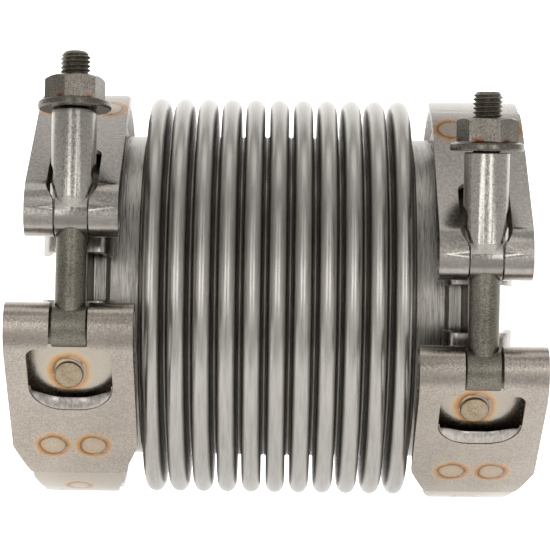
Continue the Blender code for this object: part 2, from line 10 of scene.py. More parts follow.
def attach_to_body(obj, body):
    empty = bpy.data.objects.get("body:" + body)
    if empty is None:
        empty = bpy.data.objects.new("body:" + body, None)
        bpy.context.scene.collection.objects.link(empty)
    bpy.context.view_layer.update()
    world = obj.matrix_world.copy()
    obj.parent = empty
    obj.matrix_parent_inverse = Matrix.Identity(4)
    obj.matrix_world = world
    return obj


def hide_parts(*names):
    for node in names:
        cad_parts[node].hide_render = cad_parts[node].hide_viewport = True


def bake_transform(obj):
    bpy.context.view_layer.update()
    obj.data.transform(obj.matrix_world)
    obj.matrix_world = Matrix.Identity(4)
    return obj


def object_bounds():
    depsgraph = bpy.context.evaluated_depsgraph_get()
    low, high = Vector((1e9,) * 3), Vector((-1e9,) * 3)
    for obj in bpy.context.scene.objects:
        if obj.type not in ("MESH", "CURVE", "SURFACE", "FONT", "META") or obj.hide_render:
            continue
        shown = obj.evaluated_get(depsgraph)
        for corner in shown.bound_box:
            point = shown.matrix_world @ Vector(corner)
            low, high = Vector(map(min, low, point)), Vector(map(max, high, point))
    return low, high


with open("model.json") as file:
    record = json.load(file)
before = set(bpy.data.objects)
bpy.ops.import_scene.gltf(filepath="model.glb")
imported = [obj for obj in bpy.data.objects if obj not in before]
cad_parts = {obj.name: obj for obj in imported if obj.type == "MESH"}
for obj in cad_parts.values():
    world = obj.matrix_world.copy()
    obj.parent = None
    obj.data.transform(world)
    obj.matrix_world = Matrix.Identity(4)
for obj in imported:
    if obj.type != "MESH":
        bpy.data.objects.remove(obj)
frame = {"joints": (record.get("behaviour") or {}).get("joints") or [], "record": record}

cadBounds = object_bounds()
mm = 0.001
joints = {joint["name"]: joint for joint in frame["joints"]}
mounts = {mount["name"]: mount for mount in frame["record"]["mounts"]}
faceToFace = mounts["outlet_flange_face"]["pos_m"][0]


def addNode(tree, kind, inputs=None, **settings):
    node = tree.nodes.new(kind)
    for name, value in settings.items():
        setattr(node, name, value)
    for key, value in (inputs or {}).items():
        if isinstance(value, bpy.types.NodeSocket):
            tree.links.new(value, node.inputs[key])
        else:
            node.inputs[key].default_value = value
    return node


def linear(code):  # sRGB hex to the linear colour that Blender works in
    parts = [int(code[i:i + 2], 16) / 255 for i in (1, 3, 5)]
    return [c / 12.92 if c <= 0.04045 else ((c + 0.055) / 1.055) ** 2.4 for c in parts] + [1]


def maths(tree, operation, *values):
    return addNode(tree, "ShaderNodeMath", dict(enumerate(values)), operation=operation).outputs[0]


def spread(tree, value, low, high, toLow=0.0, toHigh=1.0):
    limits = {"Value": value, "From Min": low, "From Max": high, "To Min": toLow, "To Max": toHigh}
    return addNode(tree, "ShaderNodeMapRange", limits).outputs[0]


def ramp(tree, value, stops):
    # stops: (place, tone), where the tone is a hex colour, a grey value or a linear colour
    node = addNode(tree, "ShaderNodeValToRGB", {"Fac": value})
    while len(node.color_ramp.elements) < len(stops):
        node.color_ramp.elements.new(1)
    for element, (place, tone) in zip(node.color_ramp.elements, stops):
        if isinstance(tone, str):
            tone = linear(tone)
        elif isinstance(tone, float):
            tone = (tone, tone, tone, 1)
        element.position = place
        element.color = tone
    return node.outputs["Color"]


def mixColour(tree, share, first, second):
    mix = addNode(tree, "ShaderNodeMix", {0: share}, data_type="RGBA")
    sockets = [socket for socket in mix.inputs if socket.type == "RGBA"]
    for socket, value in zip(sockets, (first, second)):
        if isinstance(value, bpy.types.NodeSocket):
            tree.links.new(value, socket)
        else:
            socket.default_value = value
    return next(socket for socket in mix.outputs if socket.type == "RGBA")


# camera, light and floor

studio = {
    "cameraPlace": (0.0422, -0.534, 0.0048),
    "cameraRoll": 0.8,       # degrees
    "lens": 153.3,           # on a 36 mm sensor
    "floorDrop": 0.004,      # floor under the lowest piece
    "floorFront": -0.6, "floorBack": 0.7, "floorHalfWidth": 2.5,
    "wallBend": 0.5, "wallTop": 2.2, "bendSteps": 16,
    "fibreScale": 400.0,     # paper fibres, drawn coarser than real ones
    "floorDim": 0.02, "floorGlow": 0.84,       # glow in front of the part and behind its front
    "glowStart": -0.100, "glowEnd": -0.076,    # where along Y it changes
    # how bright the room is by the height one looks to, from straight down to straight up
    "room": ((0.0, 0.10), (0.42, 0.3), (0.47, 0.72), (0.56, 0.8), (0.68, 0.55), (0.80, 0.46), (0.93, 0.66),
             (1.0, 0.6)),
    "roomTint": (1.0, 0.985, 0.96),
    # name, place, width, height, watts; all aimed at the part
    "lamps": (
        ("leftSoftbox", (-0.20, -0.74, 0.09), 0.17, 0.34, 0.36),
        ("leftTallSoftbox", (-0.21, -0.76, 0.24), 0.17, 0.95, 0.6),
        ("rightSoftbox", (0.285, -0.74, 0.09), 0.17, 0.34, 0.36),
        ("rightTallSoftbox", (0.295, -0.76, 0.24), 0.17, 0.95, 0.6),
        ("topSoftbox", (0.043, -0.10, 0.75), 0.55, 0.35, 0.45),
    ),
}


def addCamera():
    cameraData = bpy.data.cameras.new("camera")
    cameraData.lens = studio["lens"]
    cameraData.sensor_width = 36
    cameraData.clip_start = 0.01
    camera = bpy.data.objects.new("camera", cameraData)
    bpy.context.scene.collection.objects.link(camera)
    turn = Matrix.Rotation(pi / 2, 4, "X") @ Matrix.Rotation(radians(studio["cameraRoll"]), 4, "Z")
    camera.matrix_world = Matrix.Translation(studio["cameraPlace"]) @ turn
    bpy.context.scene.camera = camera
    bpy.context.scene.view_settings.view_transform = "Standard"


def addLight():
    world = bpy.data.worlds.new("softSurround")
    world.use_nodes = True
    tree = world.node_tree
    look = addNode(tree, "ShaderNodeTexCoord").outputs["Generated"]
    rise = addNode(tree, "ShaderNodeSeparateXYZ", {0: look}).outputs["Z"]
    stops = [(level, [glow * part for part in studio["roomTint"]] + [1]) for level, glow in studio["room"]]
    room = ramp(tree, maths(tree, "MULTIPLY_ADD", rise, 0.5, 0.5), stops)
    tree.links.new(room, tree.nodes["Background"].inputs["Color"])
    bpy.context.scene.world = world
    middle = Vector((faceToFace / 2, 0, 0))
    for name, place, width, height, watts in studio["lamps"]:
        lampData = bpy.data.lights.new(name, "AREA")
        lampData.shape = "RECTANGLE"
        lampData.size = width
        lampData.size_y = height
        lampData.energy = watts
        lamp = bpy.data.objects.new(name, lampData)
        bpy.context.scene.collection.objects.link(lamp)
        aim = (middle - Vector(place)).to_track_quat("-Z", "Y")
        lamp.matrix_world = Matrix.Translation(place) @ aim.to_matrix().to_4x4()


def glowingPaperMaterial():  # matt paper with a faint fibre and painted glow: it glows by its own emission behind the part's front, and only faintly towards the camera
    paper = bpy.data.materials.new("glowing matt paper sweep")
    paper.use_nodes = True
    tree = paper.node_tree
    shader = tree.nodes["Principled BSDF"]
    place = addNode(tree, "ShaderNodeTexCoord").outputs["Object"]
    fibre = addNode(tree, "ShaderNodeTexNoise", {"Vector": place, "Scale": studio["fibreScale"]})
    tint = mixColour(tree, fibre.outputs["Fac"], linear("#f4f4f4"), linear("#fafafa"))
    tree.links.new(tint, shader.inputs["Base Color"])
    depth = addNode(tree, "ShaderNodeSeparateXYZ", {0: place}).outputs["Y"]
    # painted light: the paper's emission runs from floorDim in front to floorGlow behind
    glow = spread(tree, depth, studio["glowStart"], studio["glowEnd"], studio["floorDim"], studio["floorGlow"])
    tree.links.new(glow, shader.inputs["Emission Strength"])
    shader.inputs["Emission Color"].default_value = (1, 1, 1, 1)
    shader.inputs["Roughness"].default_value = 0.9
    return paper


def addFloor():  # the floor runs back and curves up into a wall
    floorZ = cadBounds[0][2] - studio["floorDrop"]
    back, bend, steps, half = (studio[key] for key in ("floorBack", "wallBend", "bendSteps", "floorHalfWidth"))
    outline = [(studio["floorFront"], floorZ), (back, floorZ)]
    turns = [pi / 2 * i / steps for i in range(1, steps + 1)]
    outline += [(back + bend * sin(turn), floorZ + bend - bend * cos(turn)) for turn in turns]
    outline.append((back + bend, floorZ + studio["wallTop"]))
    bm = bmesh.new()
    rows = [[bm.verts.new((x, y, z)) for x in (-half, half)] for y, z in outline]
    for low, high in zip(rows, rows[1:]):
        bm.faces.new((low[0], low[1], high[1], high[0]))
    mesh = bpy.data.meshes.new("studioFloor")
    bm.to_mesh(mesh)
    bm.free()
    mesh.shade_smooth()
    mesh.materials.append(glowingPaperMaterial())
    floor = bpy.data.objects.new("studioFloor", mesh)
    bpy.context.scene.collection.objects.link(floor)


addCamera()
addLight()
addFloor()
print("studio ready")


# materials: each one is metal, with its grain laid out in mm

def turnedGrain(stretch):
    # (along the axis, radius, a little of the way round): grain that runs in rings
    def coordinates(tree):
        place = addNode(tree, "ShaderNodeTexCoord").outputs["Object"]
        place = addNode(tree, "ShaderNodeVectorMath", {0: place, "Scale": 1 / mm}, operation="SCALE").outputs[0]
        split = addNode(tree, "ShaderNodeSeparateXYZ", {0: place})
        y, z = split.outputs["Y"], split.outputs["Z"]
        squares = maths(tree, "ADD", maths(tree, "MULTIPLY", y, y), maths(tree, "MULTIPLY", z, z))
        radius = maths(tree, "SQRT", squares)
        turn = maths(tree, "MULTIPLY", maths(tree, "ARCTAN2", y, z), stretch)
        return addNode(tree, "ShaderNodeCombineXYZ", {"X": split.outputs["X"], "Y": radius, "Z": turn}).outputs[0]
    return coordinates


def clampGrain(*stretch):
    # the clamp's own frame, kept on the mesh as the attribute "spot" in mm
    def coordinates(tree):
        spot = addNode(tree, "ShaderNodeAttribute", attribute_name="spot").outputs["Vector"]
        return addNode(tree, "ShaderNodeVectorMath", {0: spot, 1: stretch}, operation="MULTIPLY").outputs[0]
    return coordinates


def steel(name, look, coordinates, *extras):
    material = bpy.data.materials.new(name)
    material.use_nodes = True
    tree = material.node_tree
    shader = tree.nodes["Principled BSDF"]
    where = coordinates(tree)

    def noise(size, **inputs):  # specks of about this size in mm
        return addNode(tree, "ShaderNodeTexNoise", {"Vector": where, "Scale": 0.5 / size, **inputs}).outputs["Fac"]

    grain = noise(look["grain"], Detail=3.0, Roughness=0.6)
    blotch = noise(look["blotch"], Detail=3.0)
    pits = spread(tree, noise(look["pit"], Detail=1.0), 0.63, 0.72)
    lines = spread(tree, grain, 0.3, 0.7)
    share = maths(tree, "ADD", maths(tree, "MULTIPLY", lines, 0.55), maths(tree, "MULTIPLY", blotch, 0.45))
    colour = ramp(tree, share, ((0.25, look["dark"]), (0.75, look["light"])))
    colour = mixColour(tree, maths(tree, "MULTIPLY", pits, look["pitShade"]), colour, linear(look["pitTone"]))
    rough = spread(tree, lines, 0, 1, look["smooth"], look["rough"])
    height = maths(tree, "SUBTRACT", lines, maths(tree, "MULTIPLY", pits, 1.5))
    for extra in extras:
        colour, rough, height = extra(tree, colour, rough, height)
    tree.links.new(colour, shader.inputs["Base Color"])
    tree.links.new(rough, shader.inputs["Roughness"])
    relief = addNode(tree, "ShaderNodeBump", {"Height": height, "Strength": 1.0, "Distance": look["depth"] * mm})
    tree.links.new(relief.outputs[0], shader.inputs["Normal"])
    shader.inputs["Metallic"].default_value = 1.0
    return material


weldHeat = {  # distances are halves of the weld's radius, from its middle
    "rings": ((0.0, "#b8a98f"), (0.45, "#a98a5e"), (0.52, "#5d4632"), (0.57, "#9c6a2c"), (0.64, "#b07a34"),
              (0.76, "#c4a472")),
    "strength": ((0.0, 0.25), (0.45, 0.4), (0.52, 0.95), (0.60, 0.75), (0.70, 0.3), (0.82, 0.0)),
    "blueRing": ((0.50, 0.0), (0.54, 0.8), (0.60, 0.0)), "blue": "#8b94a6", "blueSide": (0.50, 0.60), "lean": 0.12,
    "wanderScale": 0.35, "wander": 0.16,
    "groove": ((0.84, 1.0), (0.9, 0.0), (0.96, 1.0)), "grooveRelief": 1.2,    # in whole radii
}


def weldTint(*welds):
    # welds: (along the flat pattern, across it, radius) in mm; straw, brown and blue rings round each
    def tinted(tree, colour, rough, height):
        heat = weldHeat
        flat = addNode(tree, "ShaderNodeUVMap", uv_map="flatPattern").outputs["UV"]
        wander = addNode(tree, "ShaderNodeTexNoise", {"Vector": flat, "Scale": heat["wanderScale"], "Detail": 2.0})
        wander = wander.outputs["Fac"]
        nearest, lean = 9.0, 0.0
        for along, across, radius in welds:
            ends = {0: flat, 1: (along, across, 0)}
            gap = addNode(tree, "ShaderNodeVectorMath", ends, operation="DISTANCE").outputs["Value"]
            share = maths(tree, "DIVIDE", gap, radius)
            aside = addNode(tree, "ShaderNodeVectorMath", ends, operation="SUBTRACT").outputs[0]
            aside = maths(tree, "DIVIDE", addNode(tree, "ShaderNodeSeparateXYZ", {0: aside}).outputs["Y"], radius)
            near = maths(tree, "LESS_THAN", share, 1.6)
            lean = maths(tree, "ADD", maths(tree, "MULTIPLY", aside, near), lean)
            nearest = maths(tree, "MINIMUM", share, nearest)
        reach = maths(tree, "MULTIPLY", nearest, 0.5)
        reach = maths(tree, "ADD", reach, maths(tree, "MULTIPLY", wander, heat["wander"]))
        tones = ramp(tree, reach, heat["rings"])
        # one side of each ring cooled through blue
        side = maths(tree, "ADD", wander, maths(tree, "MULTIPLY", lean, heat["lean"]))
        side = spread(tree, side, *heat["blueSide"])
        blue = ramp(tree, reach, heat["blueRing"])
        tones = mixColour(tree, maths(tree, "MULTIPLY", blue, side), tones, linear(heat["blue"]))
        colour = mixColour(tree, ramp(tree, reach, heat["strength"]), colour, tones)
        groove = maths(tree, "MULTIPLY", ramp(tree, nearest, heat["groove"]), heat["grooveRelief"])
        return colour, rough, maths(tree, "ADD", height, groove)
    return tinted


# painted shading of the inner ply: where along the pattern it runs, how strong it is, and its tone
innerPly = {"from": -13.2, "to": -10.2, "share": 0.75, "tone": "#a49d91"}    # mm along the flat pattern


def innerPlyPaintedShading(tree, colour, rough, height):
    # painted shading: the inner ply, seen through the window, is mostly given one flat tone set to how bright it looks
    # there
    flat = addNode(tree, "ShaderNodeUVMap", uv_map="flatPattern").outputs["UV"]
    along = addNode(tree, "ShaderNodeSeparateXYZ", {0: flat}).outputs["X"]
    inner = spread(tree, along, innerPly["from"], innerPly["to"], 1.0, 0.0)
    colour = mixColour(tree, maths(tree, "MULTIPLY", inner, innerPly["share"]), colour, linear(innerPly["tone"]))
    return colour, rough, height


nutHeatAndShadow = {  # mm over the nut's seat and from its axis
    "start": (0.5, 0.8), "end": (1.0, 1.9), "radius": (6.3, 5.9), "wanderScale": 0.5, "wander": -2.2,
    "patches": 6.0, "patchTurn": 0.9, "patchEdge": (-0.2, 0.8),
    # low is the painted shadow at the hexagon's foot, high is the brown heat tint
    "low": "#3a150a", "high": "#74401f", "change": (0.9, 1.3), "share": 0.9,
}


def nutHeatTintAndShadow(tree, colour, rough, height):
    # brown heat tint low on the hexagon, in patches, in the nut's own frame; its near-black lowest tone is painted
    # shadow in the crease where the hexagon meets the flange
    heat = nutHeatAndShadow
    spot = addNode(tree, "ShaderNodeAttribute", attribute_name="spot").outputs["Vector"]
    split = addNode(tree, "ShaderNodeSeparateXYZ", {0: spot})
    wander = addNode(tree, "ShaderNodeTexNoise", {"Vector": spot, "Scale": heat["wanderScale"], "Detail": 2.0})
    wander = maths(tree, "MULTIPLY", wander.outputs["Fac"], heat["wander"])
    rise = maths(tree, "ADD", split.outputs["Z"], wander)
    band = maths(tree, "MULTIPLY", spread(tree, rise, *heat["start"]), spread(tree, rise, *heat["end"], 1.0, 0.0))
    sideways = addNode(tree, "ShaderNodeVectorMath", {0: spot, 1: (1, 1, 0)}, operation="MULTIPLY").outputs[0]
    radius = addNode(tree, "ShaderNodeVectorMath", {0: sideways}, operation="LENGTH").outputs["Value"]
    band = maths(tree, "MULTIPLY", band, spread(tree, radius, *heat["radius"]))
    turn = maths(tree, "ARCTAN2", split.outputs["Y"], split.outputs["X"])
    wave = maths(tree, "SINE", maths(tree, "MULTIPLY_ADD", turn, heat["patches"], heat["patchTurn"]))
    band = maths(tree, "MULTIPLY", band, spread(tree, wave, *heat["patchEdge"]))
    tone = mixColour(tree, spread(tree, rise, *heat["change"]), linear(heat["low"]), linear(heat["high"]))
    colour = mixColour(tree, maths(tree, "MULTIPLY", band, heat["share"]), colour, tone)
    return colour, rough, height


pinGrindAndShade = {  # mm over the pin
    "start": (0.8, 1.0), "end": (2.9, 3.1), "grainScale": 2.4, "relief": 4.0, "rough": 0.2,
    "below": (0.9, 1.0), "belowShare": 0.55, "belowTone": "#6f6c66",
}


def pinGrindAndUnderShade(tree, colour, rough, height):
    # a rough ground band over the cross pin, and painted shade darkening the pin's underside
    spot = addNode(tree, "ShaderNodeAttribute", attribute_name="spot").outputs["Vector"]
    rise = addNode(tree, "ShaderNodeSeparateXYZ", {0: spot}).outputs["Z"]
    start, end = spread(tree, rise, *pinGrindAndShade["start"]), spread(tree, rise, *pinGrindAndShade["end"], 1.0, 0.0)
    band = maths(tree, "MULTIPLY", start, end)
    coarse = addNode(tree, "ShaderNodeTexNoise", {"Vector": spot, "Scale": pinGrindAndShade["grainScale"], "Detail": 3.0})
    coarse = maths(tree, "MULTIPLY", coarse.outputs["Fac"], band)
    height = maths(tree, "ADD", height, maths(tree, "MULTIPLY", coarse, pinGrindAndShade["relief"]))
    rough = maths(tree, "ADD", rough, maths(tree, "MULTIPLY", band, pinGrindAndShade["rough"]))
    # painted shade: below about 1 mm over the pin's axis the steel is darkened towards this tone
    below = maths(tree, "MULTIPLY", spread(tree, rise, *pinGrindAndShade["below"], 1.0, 0.0), pinGrindAndShade["belowShare"])
    colour = mixColour(tree, below, colour, linear(pinGrindAndShade["belowTone"]))
    return colour, rough, height


# grain, blotch, pit and depth are sizes in mm; the grain is drawn coarser than real brushing and blasting
looks = {
    # satin grey of a hydroformed sheet, with faint rings round it
    "bellows": {"light": "#b0ada8", "dark": "#9a9792", "smooth": 0.27, "rough": 0.35, "grain": 0.3, "blotch": 9,
                "pit": 0.3, "pitShade": 0.15, "pitTone": "#6c6a68", "depth": 0.004},
    # fine turned rings, light and dark
    "cuff": {"light": "#b4b0aa", "dark": "#7b7772", "smooth": 0.24, "rough": 0.4, "grain": 0.16, "blotch": 3, "pit": 0.2,
             "pitShade": 0.3, "pitTone": "#5f5b58", "depth": 0.012},
    # smooth rolled band
    "band": {"light": "#b3ada7", "dark": "#8f8a85", "smooth": 0.24, "rough": 0.36, "grain": 0.3, "blotch": 6, "pit": 0.25,
             "pitShade": 0.3, "pitTone": "#5f5b58", "depth": 0.008},
    # warm tumbled sheet with small dark pits
    "bracket": {"light": "#a9a198", "dark": "#8f877e", "smooth": 0.17, "rough": 0.28, "grain": 0.22, "blotch": 4,
                "pit": 0.16, "pitShade": 0.45, "pitTone": "#6d645c", "depth": 0.006},
    # greyer, smoother sheet of the upper brackets
    "upperBracket": {"light": "#a6a19b", "dark": "#8f8a84", "smooth": 0.18, "rough": 0.27, "grain": 0.3, "blotch": 6,
                     "pit": 0.22, "pitShade": 0.2, "pitTone": "#6b6763", "depth": 0.004},
    # bright drawn steel, its grain along the barrel
    "trunnion": {"light": "#b4b0aa", "dark": "#908c86", "smooth": 0.16, "rough": 0.27, "grain": 0.16, "blotch": 4,
                 "pit": 0.16, "pitShade": 0.5, "pitTone": "#5c5a56", "depth": 0.008},
    # dull, browned by the weld
    "button": {"light": "#a89a86", "dark": "#85765f", "smooth": 0.34, "rough": 0.5, "grain": 0.3, "blotch": 2,
               "pit": 0.16, "pitShade": 0.4, "pitTone": "#57493a", "depth": 0.012},
    # dark, sandy forged steel
    "bolt": {"light": "#878277", "dark": "#504d45", "smooth": 0.3, "rough": 0.46, "grain": 0.15, "blotch": 4, "pit": 0.14,
             "pitShade": 0.6, "pitTone": "#35342f", "depth": 0.012},
    # grey, finely blasted steel
    "nut": {"light": "#7b766e", "dark": "#55514a", "smooth": 0.20, "rough": 0.32, "grain": 0.18, "blotch": 3, "pit": 0.16,
            "pitShade": 0.4, "pitTone": "#3f3c38", "depth": 0.012},
}

metals = {
    "bellows": steel("hydroformed stainless bellows", looks["bellows"], turnedGrain(3)),
    "cuff": steel("turned stainless cuff", looks["cuff"], turnedGrain(2)),
    "band": steel("rolled stainless band", looks["band"], turnedGrain(12)),
    "upper": steel("formed stainless bracket", looks["upperBracket"], clampGrain(1, 1, 1),
                   weldTint((39.3, 5.6, 3.4), (39.3, -5.6, 3.4))),
    "lower": steel("tumbled stainless bracket", looks["bracket"], clampGrain(1, 1, 1), innerPlyPaintedShading,
                   weldTint((35.1, 3.9, 3.1), (35.1, -4.7, 3.1), (-24.1, -0.8, 3.7), (-62.4, -0.4, 2.7))),
    "trunnion": steel("bright trunnion steel", looks["trunnion"], clampGrain(1, 1, 0.6), pinGrindAndUnderShade),
    "bolt": steel("dark forged bolt steel", looks["bolt"], clampGrain(1, 1, 1)),
    "button": steel("browned weld button", looks["button"], clampGrain(1, 1, 1)),
    "nut": steel("grey nut steel with heat tint and painted shadow", looks["nut"], clampGrain(1, 1, 1), nutHeatTintAndShadow),
}
print("steels ready")


# a tree that turns a section about the X axis, with a bend radius at each of its corners

def newTree(name, sockets):
    tree = bpy.data.node_groups.new(name, "GeometryNodeTree")
    for socket, kind in sockets.items():
        tree.interface.new_socket(socket, in_out="INPUT", socket_type="NodeSocket" + kind)
    tree.interface.new_socket("Geometry", in_out="OUTPUT", socket_type="NodeSocketGeometry")
    return tree, addNode(tree, "NodeGroupInput").outputs


def finishTree(tree, geometry, steel):
    merged = addNode(tree, "GeometryNodeMergeByDistance", {"Geometry": geometry, "Distance": 0.002 * mm})
    real = addNode(tree, "GeometryNodeRealizeInstances", {"Geometry": merged.outputs[0]})
    painted = addNode(tree, "GeometryNodeSetMaterial", {"Geometry": real.outputs[0], "Material": steel})
    addNode(tree, "NodeGroupOutput", {"Geometry": painted.outputs[0]})
    return tree


def turningTree():
    tree, given = newTree("turnSection", {"Geometry": "Geometry", "Round Steps": "Int", "Bend Steps": "Int",
                                          "Closing Rows": "Int", "Steel": "Material"})
    section = addNode(tree, "GeometryNodeMeshToCurve", {"Mesh": given["Geometry"]}).outputs[0]
    bend = addNode(tree, "GeometryNodeInputNamedAttribute", {"Name": "bend"}, data_type="FLOAT").outputs[0]
    rounding = {"Curve": section, "Radius": bend, "Limit Radius": True, "Count": given["Bend Steps"]}
    rounded = addNode(tree, "GeometryNodeFilletCurve", rounding, mode="POLY").outputs[0]
    size = addNode(tree, "GeometryNodeAttributeDomainSize", {0: rounded}, component="CURVE").outputs["Point Count"]
    rows = maths(tree, "ADD", size, given["Closing Rows"])
    columns = maths(tree, "ADD", given["Round Steps"], 1.0)
    grid = addNode(tree, "GeometryNodeMeshGrid", {"Vertices X": rows, "Vertices Y": columns}).outputs["Mesh"]
    index = addNode(tree, "GeometryNodeInputIndex").outputs[0]
    row = maths(tree, "FLOOR", maths(tree, "DIVIDE", index, columns))
    column = maths(tree, "MODULO", index, columns)
    spot = addNode(tree, "GeometryNodeInputPosition").outputs[0]
    picked = {0: rounded, "Value": spot, "Index": maths(tree, "MODULO", row, size)}
    point = addNode(tree, "GeometryNodeSampleIndex", picked, data_type="FLOAT_VECTOR", domain="POINT").outputs[0]
    point = addNode(tree, "ShaderNodeSeparateXYZ", {0: point}).outputs
    angle = maths(tree, "MULTIPLY", maths(tree, "DIVIDE", column, given["Round Steps"]), 2 * pi)
    across = maths(tree, "MULTIPLY", point["Y"], maths(tree, "COSINE", angle))
    up = maths(tree, "MULTIPLY", point["Y"], maths(tree, "SINE", angle))
    moved = addNode(tree, "ShaderNodeCombineXYZ", {"X": point["X"], "Y": across, "Z": up}).outputs[0]
    turned = addNode(tree, "GeometryNodeSetPosition", {"Geometry": grid, "Position": moved}).outputs[0]
    return finishTree(tree, turned, given["Steel"])


turnSection = turningTree()


def runTree(piece, tree, values):  # the modifier's inputs are set by the sockets' identifiers
    modifier = piece.modifiers.new(tree.name, "NODES")
    modifier.node_group = tree
    identifiers = {item.name: item.identifier for item in tree.interface.items_tree if item.in_out == "INPUT"}
    for name, value in values.items():
        modifier[identifiers[name]] = value


def plainMesh(piece, name):  # the evaluated piece as a plain mesh, without its modifiers
    bpy.context.view_layer.update()
    evaluated = piece.evaluated_get(bpy.context.evaluated_depsgraph_get())
    mesh = bpy.data.meshes.new_from_object(evaluated)
    mesh.name = name
    bpy.data.objects.remove(piece)
    return mesh


def tidyMesh(mesh, sharp=32):
    bm = bmesh.new()
    bm.from_mesh(mesh)
    bmesh.ops.remove_doubles(bm, verts=bm.verts, dist=0.001 * mm)
    bmesh.ops.dissolve_degenerate(bm, edges=bm.edges, dist=0.0005 * mm)
    bmesh.ops.recalc_face_normals(bm, faces=bm.faces)
    bm.to_mesh(mesh)
    bm.free()
    mesh.shade_smooth()
    mesh.set_sharp_from_angle(angle=radians(sharp))


def turnedMesh(name, corners, steel, closed=True, roundSteps=128, bendSteps=5):
    # corners: (x, radius, bend radius)
    bm = bmesh.new()
    bend = bm.verts.layers.float.new("bend")
    verts = []
    for x, radius, bendRadius in corners:
        vert = bm.verts.new((x, radius, 0))
        vert[bend] = bendRadius
        verts.append(vert)
    for pair in zip(verts, verts[1:]):
        bm.edges.new(pair)
    if closed:
        bm.edges.new((verts[-1], verts[0]))
    mesh = bpy.data.meshes.new(name + "Section")
    bm.to_mesh(mesh)
    bm.free()
    piece = addPiece(name, mesh)
    runTree(piece, turnSection, {"Round Steps": roundSteps, "Bend Steps": bendSteps, "Closing Rows": int(closed),
                                 "Steel": steel})
    turned = plainMesh(piece, name)
    tidyMesh(turned)
    return turned


def roundBar(name, start, end, radius, steel, roundSteps, edges=(0, 0)):  # a solid bar along X
    corners = [(start, 0, 0), (start, radius, edges[0]), (end, radius, edges[1]), (end, 0, 0)]
    return turnedMesh(name, corners, steel, closed=False, roundSteps=roundSteps)


def addPiece(name, mesh):
    piece = bpy.data.objects.new(name, mesh)
    bpy.context.scene.collection.objects.link(piece)
    return piece


def attach(piece, body, node=None):
    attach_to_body(piece, body)
    if node:
        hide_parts(node)


# bellows, cuffs, flanges and liner

bellows = {
    "count": 11, "pitch": 5.34 * mm, "crestRadius": 44.5 * mm, "rootRadius": 36.0 * mm, "crestBend": 2.07 * mm,
    "crestRise": 2.25 * mm, "crestSteps": 20,
    "sheet": 0.5 * mm, "tangentRadius": 34.1 * mm, "tangentLength": 6.0 * mm,
}


def crestArch(left, right, inset):  # half an ellipse over the convolution's foot
    half, rise = bellows["crestBend"] - inset, bellows["crestRise"] - inset
    middle, foot, steps = (left + right) / 2, bellows["crestRadius"] - bellows["crestRise"], bellows["crestSteps"]
    turns = [pi * i / steps for i in range(steps + 1)]
    return [(middle - half * cos(turn), foot + rise * sin(turn), 0) for turn in turns]


def addBellows():
    firstRoot = faceToFace / 2 - bellows["count"] * bellows["pitch"] / 2
    rootBend = bellows["pitch"] / 2 - bellows["crestBend"]
    sheet, root = bellows["sheet"], bellows["rootRadius"]
    inBend = rootBend + sheet
    for i in range(bellows["count"]):
        left = firstRoot + i * bellows["pitch"]
        right = left + bellows["pitch"]
        leftR = bellows["tangentRadius"] if i == 0 else root
        rightR = bellows["tangentRadius"] if i == bellows["count"] - 1 else root
        leftEnd = left - bellows["tangentLength"] if i == 0 else left
        rightEnd = right + bellows["tangentLength"] if i == bellows["count"] - 1 else right
        corners = [
            (leftEnd, leftR, 0), (left + rootBend, leftR, rootBend), *crestArch(left, right, 0),
            (right - rootBend, rightR, rootBend), (rightEnd, rightR, 0), (rightEnd, rightR - sheet, 0),
            (right - inBend, rightR - sheet, inBend), *crestArch(left, right, sheet)[::-1],
            (left + inBend, leftR - sheet, inBend), (leftEnd, leftR - sheet, 0)]
        name = f"bellowsConvolution{i + 1:02d}"
        piece = addPiece(name, turnedMesh(name, corners, metals["bellows"], roundSteps=144, bendSteps=7))
        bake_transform(piece)
        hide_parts(f"bellows_convolution_{i + 1:02d}")


addBellows()
print("bellows ready")

ends = {
    "cuffRadius": 35.9 * mm, "cuffWall": 1.5 * mm, "cuffStart": 0.4 * mm, "cuffEnd": 13.2 * mm,
    "flangeBore": 36.2 * mm, "neckRadius": 37.3 * mm, "rimRadius": 41.0 * mm, "rimWidth": 2.6 * mm,
    "flankEnd": 3.7 * mm, "neckEnd": 6.3 * mm, "chamferEnd": 7.2 * mm, "lipWall": 0.25 * mm,
    "edge": 0.2 * mm,
    "linerStart": 1.5 * mm, "linerEnd": 59.5 * mm, "linerSeat": 6.5 * mm, "seatRadius": 33.3 * mm,
    "linerRadius": 32.5 * mm, "linerWall": 0.8 * mm,
}


